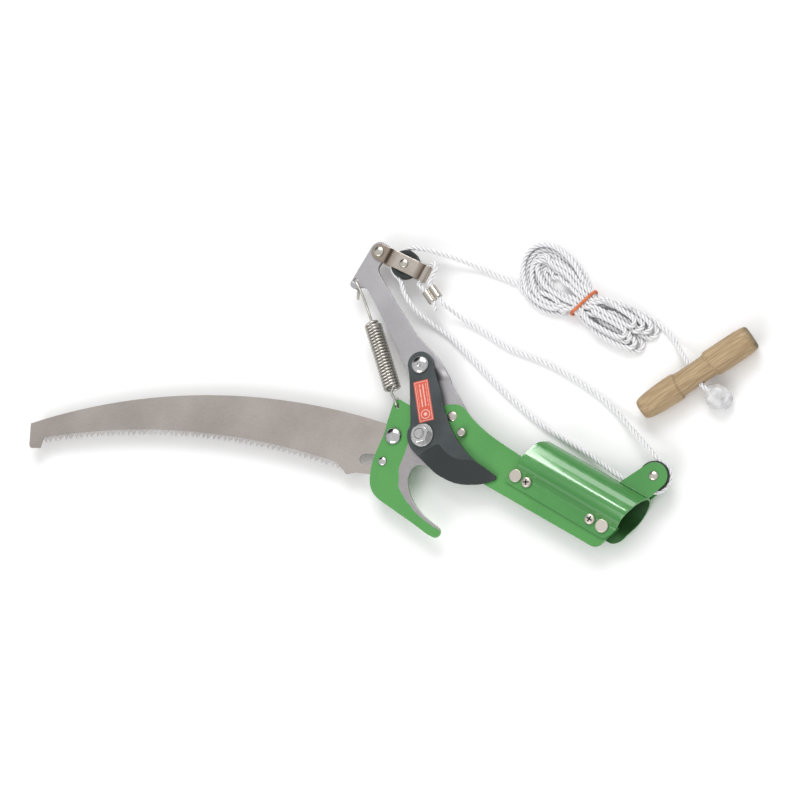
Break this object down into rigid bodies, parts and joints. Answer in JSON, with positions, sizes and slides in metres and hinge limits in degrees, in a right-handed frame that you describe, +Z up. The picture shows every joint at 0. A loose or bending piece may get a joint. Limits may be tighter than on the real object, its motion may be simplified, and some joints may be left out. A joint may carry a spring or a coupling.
{
  "type": "tree pruner saw head",
  "caption": "Tree-pruner head for a pole: curved pull saw and rope-worked bypass cutter on a stamped plate, with pole socket, pulleys, spring, coiled rope and wooden toggle.",
  "frame": {"origin": "centre of the head's footprint without its free rope, on the surface that the head lies on", "axes": "+X along the pole socket, out of its open end; +Y across the head, towards the lever and rope; +Z up, out of the head plate's front"},
  "size_m": [0.5292, 0.3758, 0.031],
  "materials": {
    "green_paint": "glossy enamel",
    "saw_steel": "ground along the blade",
    "lever_steel": "satin",
    "spring_steel": "drawn wire",
    "nickel": "satin nickel plate",
    "zinc": "bright zinc plate",
    "chrome": "polished",
    "black_coating": "satin non-stick coating",
    "black_nylon": "moulded",
    "red_label": "printed film",
    "white_rope": "twisted polypropylene strands",
    "melted_rope": "knotted and melted",
    "band_rubber": "stretched band",
    "toggle_wood": "turned, unvarnished"
  },
  "bodies": {
    "head": {"head_plate": "green_paint", "saw_blade": "saw_steel", "saw_bolt": "chrome", "saw_nut": "zinc", "saw_pin": "zinc", "plate_rivet": "zinc", "stop_pin": "zinc", "socket_shell": "green_paint", "socket_rivet_1": "zinc", "socket_rivet_2": "zinc", "clamp_screw_1": "zinc", "clamp_screw_2": "zinc", "clamp_nut_1": "zinc", "clamp_nut_2": "zinc", "pulley_ear_front": "green_paint", "pulley_ear_back": "green_paint", "lower_pulley_axle": "zinc", "pivot_bolt": "zinc", "pivot_washer": "zinc", "pivot_nut": "zinc", "rope_haul": "white_rope", "rope_turn_lower": "white_rope", "rope_return": "white_rope", "rope_lead": "white_rope", "rope_tail": "white_rope", "rope_hank": "white_rope", "hank_band": "band_rubber", "toggle_handle": "toggle_wood", "rope_knot": "melted_rope"},
    "lever": {"lever_arm": "lever_steel", "cutting_blade": "black_coating", "blade_label": "red_label", "blade_bolt": "chrome", "blade_nut": "zinc"},
    "bracket": {"pulley_bracket": "nickel", "bracket_rivet": "zinc", "upper_pulley_axle": "zinc", "rope_clip": "nickel", "rope_loop": "white_rope", "rope_turn_upper": "white_rope"},
    "upper_sheave": {"upper_pulley": "black_nylon"},
    "lower_sheave": {"lower_pulley": "black_nylon"},
    "spring_swing": {"spring_coil": "spring_steel"},
    "spring_stretch": {"spring_hook": "spring_steel"}
  },
  "joints": [
    {"name": "lever_pivot", "type": "hinge", "parent": "head", "child": "lever", "pos_m": [0.0695, 0.02864, 0.0155], "axis": [0, 0, 1], "range_deg": [-50, 0], "stiffness_Nm_per_rad": 1.5, "springref_deg": 20.05, "deforming": ["rope_haul", "rope_return", "rope_lead", "rope_loop", "rope_turn_upper", "spring_coil", "spring_hook"]},
    {"name": "bracket_swivel", "type": "hinge", "parent": "lever", "child": "bracket", "pos_m": [-0.0481, 0.13994, 0.0155], "axis": [0, 0, 1], "range_deg": [-18, 45]},
    {"name": "upper_pulley_spin", "type": "hinge", "parent": "bracket", "child": "upper_sheave", "pos_m": [-0.02202, 0.14108, 0.0155], "axis": [0, 0, 1], "continuous": true},
    {"name": "lower_pulley_spin", "type": "hinge", "parent": "head", "child": "lower_sheave", "pos_m": [0.249, 0.09044, 0.0155], "axis": [0, 0, 1], "continuous": true},
    {"name": "spring_swing", "type": "hinge", "parent": "head", "child": "spring_swing", "pos_m": [0.0358, 0.03844, 0.0155], "axis": [0, 0, 1], "range_deg": [-58.5, 0]},
    {"name": "spring_stretch", "type": "slide", "parent": "spring_swing", "child": "spring_stretch", "axis": [-0.7821, 0.6231, 0], "range_m": [0, 0.02335]}
  ],
  "couplings": [
    {"joint": "spring_swing", "follows": "lever_pivot", "ratio": 1.168},
    {"joint": "spring_stretch", "follows": "lever_pivot", "m_per_rad": -0.0267}
  ]
}
